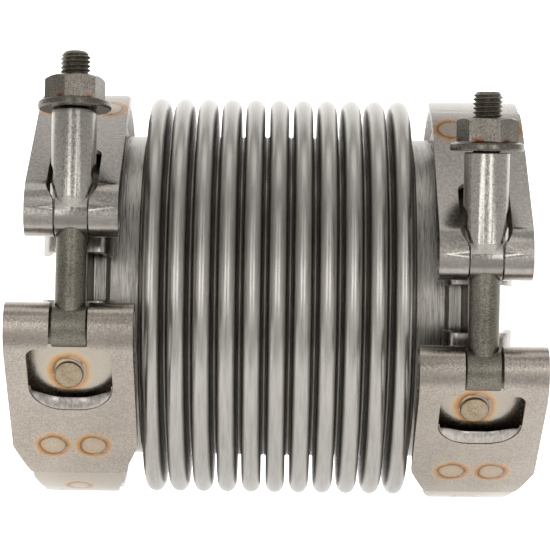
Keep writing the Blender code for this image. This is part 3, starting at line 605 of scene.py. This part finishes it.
def addEnds():
    e = ends
    edge, bore, neck = e["edge"], e["flangeBore"], e["neckRadius"]
    inside = e["cuffRadius"] - e["cuffWall"]
    cuff = [(e["cuffStart"], e["cuffRadius"], edge), (e["cuffEnd"], e["cuffRadius"], edge),
            (e["cuffEnd"], inside, edge), (e["cuffStart"], inside, edge)]
    flange = [(0, bore, edge), (0, e["rimRadius"], edge), (e["rimWidth"], e["rimRadius"], 2 * edge),
              (e["flankEnd"], neck, 3 * edge), (e["neckEnd"], neck, 2 * edge),
              (e["chamferEnd"], bore + e["lipWall"], edge / 2), (e["chamferEnd"], bore, 0)]
    for side, body in (("inlet", "root"), ("outlet", "outlet_end")):
        for part, outline, slot in (("Cuff", cuff, "cuff_steel"), ("Flange", flange, "flange_steel")):
            if side == "outlet":
                outline = [(faceToFace - x, radius, bend) for x, radius, bend in outline]
            piece = addPiece(side + part, turnedMesh(side + part, outline, metals["cuff"], roundSteps=160))
            attach(piece, body, f"{side}_{part.lower()}")
    slope = e["linerSeat"] + 2 * (e["seatRadius"] - e["linerRadius"])
    outside = [(e["linerStart"], e["seatRadius"]), (e["linerSeat"], e["seatRadius"]), (slope, e["linerRadius"]),
               (e["linerEnd"], e["linerRadius"])]
    liner = [(x, radius, edge) for x, radius in outside]
    liner += [(x, radius - e["linerWall"], edge) for x, radius in reversed(outside)]
    attach(addPiece("flowLiner", turnedMesh("flowLiner", liner, metals["bellows"])), "root", "flow_liner")


addEnds()
print("ends ready")


# clamp places, read from the joints

def clampPlace(side):
    # the clamp's own frame: X along the joint, -Y to its front, Z up along its bolt
    up = Vector(joints[f"{side}_nut_turn"]["axis"]).normalized()
    turn = atan2(-up.y, up.z)
    middle = Vector(joints[f"{side}_clamp_clocking"]["pos_m"])
    return Matrix.Translation(middle) @ Matrix.Rotation(turn, 4, "X")


clamp = {
    "crownRadius": 42.6 * mm, "retainerSheet": 1.3 * mm, "retainerHalfWidth": 7.4 * mm, "flank": 20,
    "mouthRadius": 37.8 * mm, "crownRound": 1.2 * mm, "crownSteps": 6, "retainerOffset": 0.5 * mm,
    "retainerEnds": 6.9, "retainerTurn": {"inlet": -0.6, "outlet": 0.6},
    "strapMid": 43.35 * mm, "strapSheet": 0.9 * mm, "strapWidth": 17.0 * mm, "strapEnds": 40,
    "strapSpring": 12 * mm,    # half of the stretch at the back of the strap
    "boltOut": 50.0 * mm, "pivotRise": 11.65 * mm, "sheet": 1.0 * mm, "innerPly": 44.6 * mm,
    "frontPly": 45.9 * mm, "frontBend": 8.5 * mm, "edge": 0.17 * mm, "pathStep": 1.6 * mm,
}


def keepSpot(mesh):  # each point's place in the clamp's own frame, in mm
    spot = mesh.attributes.new("spot", "FLOAT_VECTOR", "POINT")
    for vert in mesh.vertices:
        spot.data[vert.index].vector = vert.co / mm


def setInClamp(mesh, side, matrix=None):
    keepSpot(mesh)
    mesh.transform(matrix or clampPlace(side))
    return mesh


def addFaces(bm, rows):
    for low, high in zip(rows, rows[1:]):
        for corners in zip(low, low[1:], high[1:], high):
            bm.faces.new(corners)


def sweptSheet(name, section, start, end, steps, sheet, metal):
    # section: (x, radius) mid line swept round X; angles in degrees from the front towards the top
    bm = bmesh.new()
    rows = []
    for i in range(steps + 1):
        angle = radians(start + (end - start) * i / steps)
        rows.append([bm.verts.new((x, -radius * cos(angle), radius * sin(angle))) for x, radius in section])
    addFaces(bm, rows)
    mesh = bpy.data.meshes.new(name)
    bm.to_mesh(mesh)
    bm.free()
    mesh.materials.append(metal)
    return thickened(name, mesh, sheet)


def thickened(name, mesh, sheet):
    piece = addPiece(name + "Sheet", mesh)
    shell = piece.modifiers.new("sheet", "SOLIDIFY")
    shell.thickness = sheet
    shell.offset = 0
    shell.use_even_offset = True
    bevel = piece.modifiers.new("edge", "BEVEL")
    bevel.width = clamp["edge"]
    bevel.segments = 2
    bevel.limit_method = "ANGLE"
    bevel.angle_limit = radians(50)
    done = plainMesh(piece, name)
    tidyMesh(done, 40)
    return done


def retainerSection(middle):
    half = clamp["retainerSheet"] / 2
    crown = clamp["crownRadius"] - half
    slope = tan(radians(clamp["flank"]))
    mouthX = clamp["retainerHalfWidth"] - half * cos(radians(clamp["flank"]))
    crownX = mouthX - (crown - clamp["mouthRadius"]) * slope
    bend = clamp["crownRound"]
    points = [(crownX - bend, crown)]
    for i in range(1, clamp["crownSteps"]):  # the rounded shoulder
        share = i / clamp["crownSteps"]
        x = crownX - bend * (1 - share) ** 2 + bend * slope * share ** 2
        points.append((x, crown - bend * share ** 2))
    points.append((mouthX, clamp["mouthRadius"]))
    left = [(middle - x, radius) for x, radius in reversed(points)]
    return left + [(middle, crown)] + [(middle + x, radius) for x, radius in points]


def addBands(side):
    base, upper, metal = f"{side}_clamp", f"{side}_clamp_upper", metals["band"]
    gap, turn = clamp["retainerEnds"], clamp["retainerTurn"][side]
    section = retainerSection(clamp["retainerOffset"] * (1 if side == "inlet" else -1))
    halves = (("Upper", gap + turn, 180 - gap, upper), ("Lower", 180 + gap, 360 - gap + turn, base))
    for part, start, end, body in halves:
        name = f"{side}{part}Retainer"
        mesh = sweptSheet(name, section, start, end, 84, clamp["retainerSheet"], metal)
        attach(addPiece(name, setInClamp(mesh, side)), body, f"{side}_{part.lower()}_retainer")
    ends, radius, spring = clamp["strapEnds"], clamp["strapMid"], clamp["strapSpring"]
    section = [(clamp["strapWidth"] * (i / 4 - 0.5), radius) for i in range(5)]
    mesh = sweptSheet(f"{side}Strap", section, ends, 360 - ends, 140, clamp["strapSheet"], metal)
    piece = addPiece(f"{side}Strap", setInClamp(mesh, side))
    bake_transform(piece)
    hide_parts(f"{side}_strap")


for side in ("inlet", "outlet"):
    addBands(side)
print("bands ready")


# brackets: a flat pattern folded along its mid line

def bracketPath(bracket):
    # inner ply, loop round the pivot, bend and front ply; u points to the front and v away from the bolt gap
    loopRadius = bracket["loopRadius"]
    pivot = (clamp["boltOut"], clamp["pivotRise"])
    innerTouch = atan2(pivot[1], pivot[0]) + acos((clamp["innerPly"] + loopRadius) / hypot(*pivot))
    bend = (clamp["boltOut"] + loopRadius - clamp["frontBend"], clamp["pivotRise"])
    frontTouch = atan2(bend[1], bend[0]) + acos((clamp["frontPly"] - clamp["frontBend"]) / hypot(*bend))
    pieces = []

    def arc(centre, radius, start, end):
        length = abs(end - start) * radius
        fine = clamp["pathStep"] * (1 if radius > 10 * mm else 0.45)
        pieces.append(("arc", length, (centre, radius, start, end), max(2, int(length / fine))))

    def on(centre, radius, angle):
        return (centre[0] + radius * cos(angle), centre[1] + radius * sin(angle))

    def line(start, end):
        pieces.append(("line", hypot(end[0] - start[0], end[1] - start[1]), (start, end), 3))

    arc((0, 0), clamp["innerPly"], radians(bracket["innerEnd"]), innerTouch)
    line(on((0, 0), clamp["innerPly"], innerTouch), on(pivot, loopRadius, innerTouch + pi))
    arc(pivot, loopRadius, innerTouch + pi, 2 * pi)
    arc(bend, clamp["frontBend"], 0, frontTouch)
    line(on(bend, clamp["frontBend"], frontTouch), on((0, 0), clamp["frontPly"], frontTouch))
    arc((0, 0), clamp["frontPly"], frontTouch, radians(bracket["frontEnd"]))
    return pieces


def pathPoint(pieces, distance):
    for piece in pieces:
        kind, length, data, steps = piece
        if distance <= length or piece is pieces[-1]:
            share = distance / length
            if kind == "line":
                (u0, v0), (u1, v1) = data
                return u0 + (u1 - u0) * share, v0 + (v1 - v0) * share
            centre, radius, start, end = data
            angle = start + (end - start) * share
            return centre[0] + radius * cos(angle), centre[1] + radius * sin(angle)
        distance -= length


def pathStations(pieces):
    stations, base = [], 0.0
    for kind, length, data, steps in pieces:
        stations += [base + length * i / steps for i in range(steps)]
        base += length
    return stations[1:]


def roundedOutline(corners, steps=8):
    points = []
    for i, (s, x, radius) in enumerate(corners):
        here = Vector((s, x))
        before = (Vector(corners[i - 1][:2]) - here).normalized()
        after = (Vector(corners[(i + 1) % len(corners)][:2]) - here).normalized()
        half = before.angle(after) / 2
        if radius == 0 or half > pi / 2 - 0.01:
            points.append((s, x))
            continue
        back = radius / tan(half)
        centre = here + (before + after).normalized() * (radius / sin(half))
        first = here + before * back - centre
        sweep = first.angle_signed(here + after * back - centre)
        for j in range(steps + 1):
            turn = -sweep * j / steps
            points.append((centre.x + first.x * cos(turn) - first.y * sin(turn),
                           centre.y + first.x * sin(turn) + first.y * cos(turn)))
    return points


def bothSides(corners):
    return corners + [(s, -x, radius) for s, x, radius in reversed(corners)]


def foldedSheet(name, pieces, outline, window, upwards, origin, metal):
    # origin: the distance along the path that the pattern's UV map counts from
    bm = bmesh.new()
    for loop in (outline, window):
        verts = [bm.verts.new((s, x, 0)) for s, x in loop]
        for a, b in zip(verts, verts[1:] + verts[:1]):
            bm.edges.new((a, b))
    bmesh.ops.triangle_fill(bm, use_beauty=True, edges=bm.edges[:])
    for station in pathStations(pieces):
        bmesh.ops.bisect_plane(bm, geom=bm.verts[:] + bm.edges[:] + bm.faces[:], plane_co=(station, 0, 0),
                               plane_no=(1, 0, 0), dist=1e-7)
    bmesh.ops.remove_doubles(bm, verts=bm.verts[:], dist=1e-6)
    flat = bm.loops.layers.uv.new("flatPattern")
    for face in bm.faces:
        for corner in face.loops:
            corner[flat].uv = ((corner.vert.co.x - origin) / mm, corner.vert.co.y / mm)
    for vert in bm.verts:
        u, v = pathPoint(pieces, vert.co.x)
        vert.co = (vert.co.y, -u, v if upwards else -v)
    bmesh.ops.recalc_face_normals(bm, faces=bm.faces[:])
    bmesh.ops.dissolve_limit(bm, angle_limit=radians(0.2), verts=bm.verts[:], edges=bm.edges[:], delimit={"UV"})
    mesh = bpy.data.meshes.new(name)
    bm.to_mesh(mesh)
    bm.free()
    mesh.materials.append(metal)
    return thickened(name, mesh, clamp["sheet"])


def pathMarks(pieces):  # how far along the path the loop starts, the loop ends at the front, and the path ends
    reached = list(accumulate(length for kind, length, data, steps in pieces))
    return reached[1], reached[2], reached[-1]


upperBracket = {
    "width": 19.4 * mm, "loopGap": 7.4 * mm, "slotWidth": 10.7 * mm, "slotStart": 2.4 * mm, "slotNeck": 5.4 * mm,
    "slotEnd": 21.2 * mm, "innerEnd": 80, "frontEnd": 66, "loopRadius": 4.25 * mm, "gapRun": 4.2 * mm,
    "corner": 2.0 * mm, "gapCorner": 1.3 * mm, "neckBend": 4.0 * mm, "slotCorner": 3.0 * mm,
}
lowerBracket = {
    "width": 26.6 * mm, "loopGap": 8.0 * mm, "windowWidth": 17.6 * mm, "windowTop": 5.2 * mm, "windowEnd": 23.5 * mm,
    "windowRound": 7.2 * mm, "innerEnd": 83.5, "innerWidth": 16.5 * mm, "innerStep": 3.8 * mm, "innerShoulder": 11.6 * mm,
    "innerNeck": 18.0 * mm, "frontEnd": 62.5, "frontWidth": 19.8 * mm, "taper": 9.6 * mm, "loopRadius": 4.45 * mm,
    "corner": 2.0 * mm, "smallCorner": 1.3 * mm, "gapRun": 4.2 * mm,
    "lipDepth": 1.7 * mm, "lipLean": 1.5 * mm, "lipSheet": 0.8 * mm, "lipLap": 0.3 * mm, "lipSteps": 14, "lipRows": 4,
    "weldPlace": (-24.7 * mm, -0.8 * mm), "weldRadius": 3.05 * mm, "weldHeight": 0.55 * mm, "weldSink": 0.1 * mm,
}


def addUpperBracket(side):
    b = upperBracket
    pieces = bracketPath(b)
    loopStart, loopFront, end = pathMarks(pieces)
    half, gap, slot = b["width"] / 2, b["loopGap"] / 2, b["slotWidth"] / 2
    outline = roundedOutline(bothSides([(0, half, b["corner"]), (end, half, b["corner"])]))
    window = roundedOutline(bothSides([
        (loopStart - b["gapRun"], gap, b["gapCorner"]), (loopFront + b["slotStart"], gap, b["neckBend"]),
        (loopFront + b["slotNeck"], slot, b["neckBend"]), (loopFront + b["slotEnd"], slot, b["slotCorner"])]))
    name = f"{side}UpperBracket"
    mesh = foldedSheet(name, pieces, outline, window, True, loopFront, metals["upper"])
    attach(addPiece(name, setInClamp(mesh, side)), f"{side}_clamp_upper", f"{side}_upper_bracket")


def addLowerBracket(side):
    b = lowerBracket
    pieces = bracketPath(b)
    loopStart, loopFront, end = pathMarks(pieces)
    half, gap, window, small = b["width"] / 2, b["loopGap"] / 2, b["windowWidth"] / 2, b["smallCorner"]
    inner, front = b["innerWidth"] / 2, b["frontWidth"] / 2
    top, bottom = loopFront + b["windowTop"], loopFront + b["windowEnd"]
    outline = roundedOutline(bothSides([
        (0, inner, small), (b["innerStep"], inner, small), (b["innerShoulder"], front, small),
        (b["innerNeck"], front, small), (b["innerNeck"] + b["taper"], half, b["corner"]),
        (end - b["taper"], half, b["corner"]), (end, front, small)]))
    opening = roundedOutline(bothSides([
        (loopStart - b["gapRun"], gap, small), (top, gap, small), (top, window, b["corner"]),
        (bottom, window, b["windowRound"])]))
    name = f"{side}LowerBracket"
    mesh = foldedSheet(name, pieces, outline, opening, False, loopFront, metals["lower"])
    attach(addPiece(name, setInClamp(mesh, side)), f"{side}_clamp", f"{side}_lower_bracket")


def onPath(pieces, s, x, rise):
    # a point this far outside the folded sheet's mid line, in the clamp's frame of the lower bracket
    step = 0.05 * mm
    u, v = pathPoint(pieces, s)
    nextU, nextV = pathPoint(pieces, s + step)
    normal = Vector((nextV - v, u - nextU)).normalized()
    if normal.x < 0:
        normal.negate()
    return Vector((x, -(u + normal.x * rise), -(v + normal.y * rise)))


def addWindowLip(side):
    # the window's lower edge is pressed in towards the inner ply
    b = lowerBracket
    pieces = bracketPath(b)
    loopStart, loopFront, end = pathMarks(pieces)
    half, turn, steps, depth = b["windowWidth"] / 2, b["windowRound"], b["lipSteps"], b["lipRows"]
    centreS = loopFront + b["windowEnd"] - turn
    angles = [pi / 2 * i / steps for i in range(steps + 1)]
    edge = [(centreS + turn * sin(angle), half - turn + turn * cos(angle)) for angle in angles]
    edge += [(s, -x) for s, x in reversed(edge)]
    bm = bmesh.new()
    rows = []
    for s, x in edge:
        low = min(1, max(0, (s - centreS) / turn))
        low = low * low * (3 - 2 * low)
        row = []
        for inwards in [i / depth for i in range(depth + 1)]:
            lean = b["lipLean"] * low * (1 - (1 - inwards) ** 2 + inwards) / 2
            along = s - lean + b["lipLap"] * (1 - inwards)
            row.append(bm.verts.new(onPath(pieces, along, x, -b["lipDepth"] * low * inwards)))
        rows.append(row)
    addFaces(bm, rows)
    mesh = bpy.data.meshes.new("lip")
    bm.to_mesh(mesh)
    bm.free()
    mesh.materials.append(metals["band"])
    name = f"{side}WindowLip"
    piece = addPiece(name, setInClamp(thickened(name, mesh, b["lipSheet"]), side))
    attach(piece, f"{side}_clamp")


def addWeldButton(side):
    b = lowerBracket
    pieces = bracketPath(b)
    along, across = b["weldPlace"]
    s = pathMarks(pieces)[1] + along
    foot = onPath(pieces, s, across, clamp["sheet"] / 2 - b["weldSink"])
    top = onPath(pieces, s, across, clamp["sheet"] / 2 + b["weldHeight"])
    height, radius = (top - foot).length, b["weldRadius"]
    corners = [(0, 0, 0), (0, radius, 0), (height, radius - 0.1 * mm, 0.3 * mm), (height, 0, 0)]
    button = turnedMesh("button", corners, metals["button"], closed=False, roundSteps=48)
    button.transform(Matrix.Translation(foot) @ (top - foot).to_track_quat("X", "Z").to_matrix().to_4x4())
    piece = addPiece(f"{side}WeldButton", setInClamp(button, side))
    attach(piece, f"{side}_clamp")


for side in ("inlet", "outlet"):
    addUpperBracket(side)
    addLowerBracket(side)
    addWindowLip(side)
    addWeldButton(side)
print("brackets ready")


# T-bolt, its thread, trunnion and nut

def threadTree():
    floats = ("Length", "Pitch", "Major Radius", "Depth", "Chamfer", "Run Out")
    sockets = {**dict.fromkeys(floats, "Float"), "Rows": "Int", "Round Steps": "Int", "Steel": "Material"}
    tree, given = newTree("cutThread", sockets)
    length = given["Length"]
    columns = maths(tree, "ADD", given["Round Steps"], 1.0)
    grid = addNode(tree, "GeometryNodeMeshGrid", {"Vertices X": given["Rows"], "Vertices Y": columns})
    index = addNode(tree, "GeometryNodeInputIndex").outputs[0]
    row = maths(tree, "FLOOR", maths(tree, "DIVIDE", index, columns))
    share = maths(tree, "DIVIDE", maths(tree, "MODULO", index, columns), given["Round Steps"])
    along = maths(tree, "DIVIDE", row, maths(tree, "SUBTRACT", given["Rows"], 1.0))
    along = maths(tree, "MULTIPLY", along, length)
    turns = maths(tree, "SUBTRACT", maths(tree, "DIVIDE", along, given["Pitch"]), share)
    phase = maths(tree, "FRACT", maths(tree, "ADD", turns, 100.0))
    # flanks with a flat crest and a flat root
    ridge = maths(tree, "ABSOLUTE", maths(tree, "SUBTRACT", maths(tree, "MULTIPLY", phase, 2.0), 1.0))
    ridge = maths(tree, "MULTIPLY", maths(tree, "SUBTRACT", ridge, 0.12), 1.32)
    ridge = maths(tree, "MINIMUM", maths(tree, "MAXIMUM", ridge, 0.0), 1.0)
    fade = maths(tree, "MINIMUM", maths(tree, "DIVIDE", along, given["Run Out"]), 1.0)
    cut = maths(tree, "MULTIPLY", maths(tree, "SUBTRACT", 1.0, ridge), given["Depth"])
    radius = maths(tree, "SUBTRACT", given["Major Radius"], maths(tree, "MULTIPLY", cut, fade))
    fromTip = maths(tree, "MULTIPLY", maths(tree, "SUBTRACT", length, along), 0.9)
    tip = maths(tree, "ADD", maths(tree, "SUBTRACT", given["Major Radius"], given["Chamfer"]), fromTip)
    radius = maths(tree, "MINIMUM", radius, tip)
    angle = maths(tree, "MULTIPLY", share, 2 * pi)
    across = maths(tree, "MULTIPLY", radius, maths(tree, "COSINE", angle))
    up = maths(tree, "MULTIPLY", radius, maths(tree, "SINE", angle))
    moved = addNode(tree, "ShaderNodeCombineXYZ", {"X": across, "Y": up, "Z": along}).outputs[0]
    shaped = addNode(tree, "GeometryNodeSetPosition", {"Geometry": grid.outputs["Mesh"], "Position": moved})
    return finishTree(tree, shaped.outputs[0], given["Steel"])


cutThread = threadTree()
bolt = {
    "rodRadius": 3.2 * mm, "threadRadius": 3.08 * mm, "threadStart": 30.0 * mm, "tip": 57.4 * mm, "pitch": 25.4 / 28 * mm,
    "depth": 0.5 * mm, "chamfer": 0.8 * mm, "runOut": 2 * mm, "headRadius": 3.7 * mm, "headLength": 25.8 * mm,
    "bossRadius": 4.3 * mm, "bossLength": 7.4 * mm, "edge": 0.4 * mm, "innerEdge": 0.3 * mm,
}


def boltSpot(side, rise):  # the clamp's frame moved to a point on its bolt's axis
    return clampPlace(side) @ Matrix.Translation((0, -clamp["boltOut"], rise))


def joined(name, first, second, operation, metal):
    # first and second: meshes in one place, which are made into one body by a boolean operation
    piece = addPiece(name, first)
    tool = addPiece(name + "Tool", second)
    change = piece.modifiers.new("join", "BOOLEAN")
    change.operation = operation
    change.object = tool
    done = plainMesh(piece, name)
    bpy.data.objects.remove(tool)
    done.materials.clear()
    done.materials.append(metal)
    for polygon in done.polygons:
        polygon.material_index = 0
    return done


def upright(mesh):  # a piece made along X stands along Z
    mesh.transform(Matrix.Rotation(-pi / 2, 4, "Y"))
    return mesh


def capped(mesh):
    bm = bmesh.new()
    bm.from_mesh(mesh)
    bmesh.ops.holes_fill(bm, edges=bm.edges[:], sides=0)
    bm.to_mesh(mesh)
    bm.free()
    return mesh


def addBolt(side):
    b = bolt
    metal, body = metals["bolt"], f"{side}_t_bolt_body"
    rod = upright(roundBar("rod", 0, b["threadStart"], b["rodRadius"], metal, 64, (0, 0.1 * mm)))
    half, boss, radius, bossRadius = b["headLength"] / 2, b["bossLength"] / 2, b["headRadius"], b["bossRadius"]
    end = [(half, 0, 0), (half, radius, b["edge"]), (boss, radius, b["innerEdge"]), (boss, bossRadius, b["edge"])]
    head = turnedMesh("head", [(-x, width, bend) for x, width, bend in end] + end[::-1], metal, closed=False,
                      roundSteps=80)
    mesh = joined(f"{side}TBolt", rod, head, "UNION", metal)
    tidyMesh(mesh, 30)
    piece = addPiece(f"{side}TBolt", setInClamp(mesh, side, boltSpot(side, -clamp["pivotRise"])))
    attach(piece, body, f"{side}_t_bolt")

    blank = addPiece("blank", bpy.data.meshes.new("blank"))
    runTree(blank, cutThread, {"Length": b["tip"] - b["threadStart"], "Pitch": b["pitch"], "Depth": b["depth"],
                               "Major Radius": b["threadRadius"], "Chamfer": b["chamfer"], "Run Out": b["runOut"],
                               "Rows": 300, "Round Steps": 56, "Steel": metal})
    mesh = capped(plainMesh(blank, f"{side}BoltThread"))
    tidyMesh(mesh, 50)
    spot = boltSpot(side, b["threadStart"] - clamp["pivotRise"])
    attach(addPiece(f"{side}BoltThread", setInClamp(mesh, side, spot)), body)


trunnion = {
    "pinRadius": 3.5 * mm, "pinLength": 18.6 * mm, "barrelRadius": 4.7 * mm, "barrelTop": 21.65 * mm, "bore": 3.4 * mm,
    "edge": 0.3 * mm, "pinEdge": 0.4 * mm, "collarRadius": 4.6 * mm, "collarLength": 6.96 * mm,
    # hollows in both sides of the foot: radius, height over the pin, half of the width left between them
    "hollows": ((4.35 * mm, 1.4 * mm, 3.55 * mm), (4.0 * mm, 8.2 * mm, 3.9 * mm)),
}


def addTrunnion(side):
    t = trunnion
    metal, edge = metals["trunnion"], t["edge"]
    barrel = upright(roundBar("barrel", 0, t["barrelTop"], t["barrelRadius"], metal, 96, (0, edge)))
    for radius, rise, rest in t["hollows"]:
        for way in (-1, 1):
            hollow = roundBar("hollow", -8 * mm, 8 * mm, radius, metal, 96)
            hollow.transform(Matrix.Translation((way * (rest + radius), 0, rise)) @ Matrix.Rotation(pi / 2, 4, "Z"))
            barrel = joined("barrel", barrel, hollow, "DIFFERENCE", metal)
    reach, half = t["collarLength"] / 2, t["pinLength"] / 2
    collar = roundBar("collar", -reach, reach, t["collarRadius"], metal, 96, (edge, edge))
    pin = roundBar("pin", -half, half, t["pinRadius"], metal, 64, (t["pinEdge"], t["pinEdge"]))
    solid = joined("trunnionSolid", barrel, pin, "UNION", metal)
    solid = joined("trunnionBody", solid, collar, "UNION", metal)
    bore = upright(roundBar("bore", -20 * mm, 40 * mm, t["bore"], metal, 64))
    mesh = joined(f"{side}Trunnion", solid, bore, "DIFFERENCE", metal)
    tidyMesh(mesh, 30)
    piece = addPiece(f"{side}Trunnion", setInClamp(mesh, side, boltSpot(side, clamp["pivotRise"])))
    attach(piece, f"{side}_trunnion_body", f"{side}_trunnion")


nut = {
    "acrossFlats": 11.1 * mm, "height": 6.75 * mm, "flangeRadius": 7.7 * mm, "rim": 1.5 * mm, "flangeTop": 2.1 * mm,
    "bore": 3.15 * mm, "chamferRadius": 5.35 * mm, "seatGap": 0.3 * mm, "turn": {"inlet": -14.5, "outlet": 19.5},
}


def addNut(side):
    n = nut
    metal, height, outside, slope = metals["nut"], n["height"], n["flangeRadius"], tan(pi / 6)
    corner = n["acrossFlats"] / 2 / cos(pi / 6)
    low = n["rim"] / 2
    bm = bmesh.new()
    turn = Matrix.Rotation(radians(n["turn"][side]), 4, "Z")
    bmesh.ops.create_cone(bm, cap_ends=True, segments=6, radius1=corner, radius2=corner, depth=height - low,
                          matrix=Matrix.Translation((0, 0, (height + low) / 2)) @ turn)
    hexagon = bpy.data.meshes.new("hexagon")
    bm.to_mesh(hexagon)
    bm.free()
    above = 0.4 * mm    # the cone that chamfers the corners ends this far over the nut
    crown = turnedMesh("crown", [
        (-height, 0, 0), (-height, 2 * corner, 0),
        (height - (2 * corner - n["chamferRadius"]) * slope, 2 * corner, 0),
        (height + above, n["chamferRadius"] - above / slope, 0), (height + above, 0, 0)],
        metal, closed=False, roundSteps=96)
    hexagon = joined("nutHexagon", hexagon, upright(crown), "INTERSECT", metal)
    flange = turnedMesh("nutFlange", [
        (0, 0, 0), (0, outside - 0.15 * mm, 0.25 * mm), (0.4 * mm, outside, 0.3 * mm),
        (n["rim"], outside - 0.1 * mm, 0.4 * mm), (n["flangeTop"], n["acrossFlats"] / 2 - 0.3 * mm, 0.3 * mm),
        (n["flangeTop"], 0, 0)], metal, closed=False, roundSteps=96)
    solid = joined("nutSolid", upright(flange), hexagon, "UNION", metal)
    bore = upright(roundBar("nutBore", -5 * mm, 15 * mm, n["bore"], metal, 64))
    mesh = joined(f"{side}FlangeNut", solid, bore, "DIFFERENCE", metal)
    tidyMesh(mesh, 25)
    seat = clamp["pivotRise"] + trunnion["barrelTop"] + n["seatGap"]
    piece = addPiece(f"{side}FlangeNut", setInClamp(mesh, side, boltSpot(side, seat)))
    attach(piece, f"{side}_nut_body", f"{side}_flange_nut")


for side in ("inlet", "outlet"):
    addBolt(side)
    addTrunnion(side)
    addNut(side)
print("bolts, trunnions and nuts ready")
